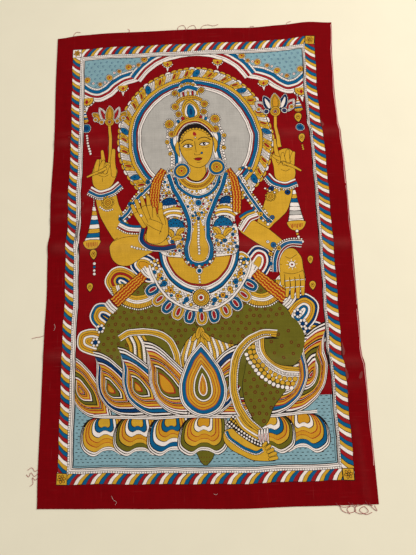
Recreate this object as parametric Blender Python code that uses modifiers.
"""A painted cotton wall panel lying flat, with the creases it was folded along still standing in it.

The panel is one cut length of plain cotton. It is modelled in metres, +Z up, with the top of the
picture towards +Y. The origin is under the middle of the cloth, on the surface it lies on.
"""

import math
from typing import NamedTuple

import bpy

# Driving sizes of the cloth.
CLOTH_WIDTH = 0.570
CLOTH_LENGTH = 0.910
CLOTH_THICKNESS = 0.001

# Cells of the faceted surface, across and along.
CELLS_ACROSS = 22
CELLS_ALONG = 65

# A crease fades out over this distance at an end that lies inside the cloth.
CREASE_FADE = 0.030
# How far a crease's own height grows towards the left edge, and over what distance it dies away.
EDGE_FLARE = 0.5
EDGE_FLARE_REACH = 0.045
# Rounds the top of a crease, as a share of its half width.
CREASE_ROUNDING = 0.22

# The cotton's dye, as linear red, green and blue.
MADDER_RED = (0.230, 0.004, 0.010)
COTTON_ROUGHNESS = 0.85


class Crease(NamedTuple):
    """A soft ridge across the cloth. Positions are metres from the cloth's lower left corner."""

    start_x: float
    start_y: float
    end_x: float
    end_y: float
    height: float
    half_width: float


#       start_x start_y  end_x  end_y  height  half_width
CREASES = (
    Crease(-0.010, 0.457, 0.580, 0.444, 0.0034, 0.020),  # the fold across the middle
    Crease(-0.010, 0.673, 0.580, 0.669, 0.0024, 0.017),  # the fold a quarter down
    Crease(0.110, 0.654, 0.470, 0.657, 0.0012, 0.010),  # its slipped twin
    Crease(-0.010, 0.257, 0.580, 0.229, 0.0028, 0.018),  # the fold a quarter up
    Crease(0.440, 0.192, 0.580, 0.194, 0.0016, 0.012),
    Crease(-0.010, 0.691, 0.090, 0.697, 0.0012, 0.011),
    Crease(-0.010, 0.562, 0.130, 0.556, 0.0019, 0.012),
    Crease(-0.010, 0.542, 0.070, 0.545, 0.0011, 0.010),
    Crease(-0.010, 0.510, 0.110, 0.539, 0.0021, 0.013),
    Crease(0.554, -0.010, 0.540, 0.150, 0.0013, 0.011),
)


class EdgePoint(NamedTuple):
    """How far an edge of the cloth stands out from its straight line at one place along it."""

    along: float
    out: float


LEFT_EDGE = (
    EdgePoint(0.000, 0.0012),
    EdgePoint(0.050, 0.0025),
    EdgePoint(0.170, 0.0020),
    EdgePoint(0.290, 0.0018),
    EdgePoint(0.360, 0.0002),
    EdgePoint(0.440, 0.0016),
    EdgePoint(0.462, 0.0026),
    EdgePoint(0.485, -0.0010),
    EdgePoint(0.550, 0.0006),
    EdgePoint(0.670, -0.0018),
    EdgePoint(0.820, 0.0002),
    EdgePoint(0.910, 0.0000),
)
RIGHT_EDGE = (
    EdgePoint(0.000, -0.0010),
    EdgePoint(0.130, -0.0016),
    EdgePoint(0.226, -0.0016),
    EdgePoint(0.244, -0.0064),
    EdgePoint(0.300, -0.0046),
    EdgePoint(0.430, -0.0036),
    EdgePoint(0.600, -0.0034),
    EdgePoint(0.665, -0.0052),
    EdgePoint(0.690, -0.0084),
    EdgePoint(0.750, -0.0096),
    EdgePoint(0.820, -0.0078),
    EdgePoint(0.910, -0.0030),
)
LOWER_EDGE = (
    EdgePoint(0.000, -0.0016),
    EdgePoint(0.100, -0.0004),
    EdgePoint(0.220, 0.0014),
    EdgePoint(0.340, 0.0030),
    EdgePoint(0.450, 0.0006),
    EdgePoint(0.570, -0.0008),
)
UPPER_EDGE = (
    EdgePoint(0.000, 0.0010),
    EdgePoint(0.050, 0.0058),
    EdgePoint(0.100, 0.0072),
    EdgePoint(0.220, 0.0054),
    EdgePoint(0.330, 0.0040),
    EdgePoint(0.410, 0.0002),
    EdgePoint(0.470, 0.0022),
    EdgePoint(0.520, 0.0056),
    EdgePoint(0.570, 0.0010),
)


def clear_scene():
    """Removes every object, so that the script can be run again."""
    for old in list(bpy.data.objects):
        bpy.data.objects.remove(old, do_unlink=True)


def ease(share):
    """Goes smoothly from 0 to 1 as share does."""
    share = min(1.0, max(0.0, share))
    return share * share * (3 - 2 * share)


def edge_offset(edge, along):
    """How far an edge stands out at a place along it, eased from one stated point to the next."""
    for low, high in zip(edge, edge[1:]):
        if along <= high.along:
            share = (along - low.along) / (high.along - low.along)
            return low.out + (high.out - low.out) * ease(share)
    return edge[-1].out


def outline_place(across, along):
    """Where a place on the straight cut cloth lies once its uneven edges are followed.

    across and along run from 0 to 1 over the cloth's width and length.
    """
    x, y = across * CLOTH_WIDTH, along * CLOTH_LENGTH
    left, right = edge_offset(LEFT_EDGE, y), edge_offset(RIGHT_EDGE, y)
    lower, upper = edge_offset(LOWER_EDGE, x), edge_offset(UPPER_EDGE, x)
    return (
        x - left * (1 - across) + right * across,
        y - lower * (1 - along) + upper * along,
    )


def crease_height(crease, x, y):
    """The height that one crease adds at a place."""
    run_x, run_y = crease.end_x - crease.start_x, crease.end_y - crease.start_y
    length = math.hypot(run_x, run_y)
    off_x, off_y = x - crease.start_x, y - crease.start_y
    along = (off_x * run_x + off_y * run_y) / length
    beside = abs(off_x * run_y - off_y * run_x) / length / crease.half_width
    if beside >= 1:
        return 0.0
    rounded = math.hypot(beside, CREASE_ROUNDING)
    top, foot = 1 - CREASE_ROUNDING, 1 - math.hypot(1, CREASE_ROUNDING)
    profile = ((1 - rounded - foot) / (top - foot)) ** 2
    ends = ease(along / CREASE_FADE) * ease((length - along) / CREASE_FADE)
    flare = 1 + EDGE_FLARE * ease(1 - x / EDGE_FLARE_REACH)
    return crease.height * profile * ends * flare


def relief(x, y):
    """How high the cloth's underside stands at a place: zero where it touches the surface."""
    return max(crease_height(crease, x, y) for crease in CREASES)


def cotton_material():
    """The dyed cotton."""
    material = bpy.data.materials.new("cotton")
    material.use_nodes = True
    shader = material.node_tree.nodes["Principled BSDF"]
    shader.inputs["Base Color"].default_value = (*MADDER_RED, 1)
    shader.inputs["Roughness"].default_value = COTTON_ROUGHNESS
    shader.inputs["Metallic"].default_value = 0.0
    return material


def build_panel(collection):
    """The cloth: a grid laid to the uneven outline and the creases, then given its thickness upwards."""
    bpy.ops.mesh.primitive_grid_add(
        x_subdivisions=CELLS_ACROSS, y_subdivisions=CELLS_ALONG, size=1
    )
    panel = bpy.context.object
    panel.name = panel.data.name = "cloth_panel"
    for vertex in panel.data.vertices:
        x, y = outline_place(vertex.co.x + 0.5, vertex.co.y + 0.5)
        vertex.co = (x, y, relief(x, y))
    places = [vertex.co.copy() for vertex in panel.data.vertices]
    middle_x = (min(p.x for p in places) + max(p.x for p in places)) / 2
    middle_y = (min(p.y for p in places) + max(p.y for p in places)) / 2
    for vertex in panel.data.vertices:
        vertex.co.x -= middle_x
        vertex.co.y -= middle_y
    thickness = panel.modifiers.new("cloth_thickness", "SOLIDIFY")
    thickness.thickness = CLOTH_THICKNESS
    thickness.offset = 1
    panel.data.shade_smooth()
    panel.data.materials.append(cotton_material())
    for owner in list(panel.users_collection):
        owner.objects.unlink(panel)
    collection.objects.link(panel)
    return panel


def main():
    clear_scene()
    collection = bpy.data.collections.new("painted_panel")
    bpy.context.scene.collection.children.link(collection)
    build_panel(collection)


main()
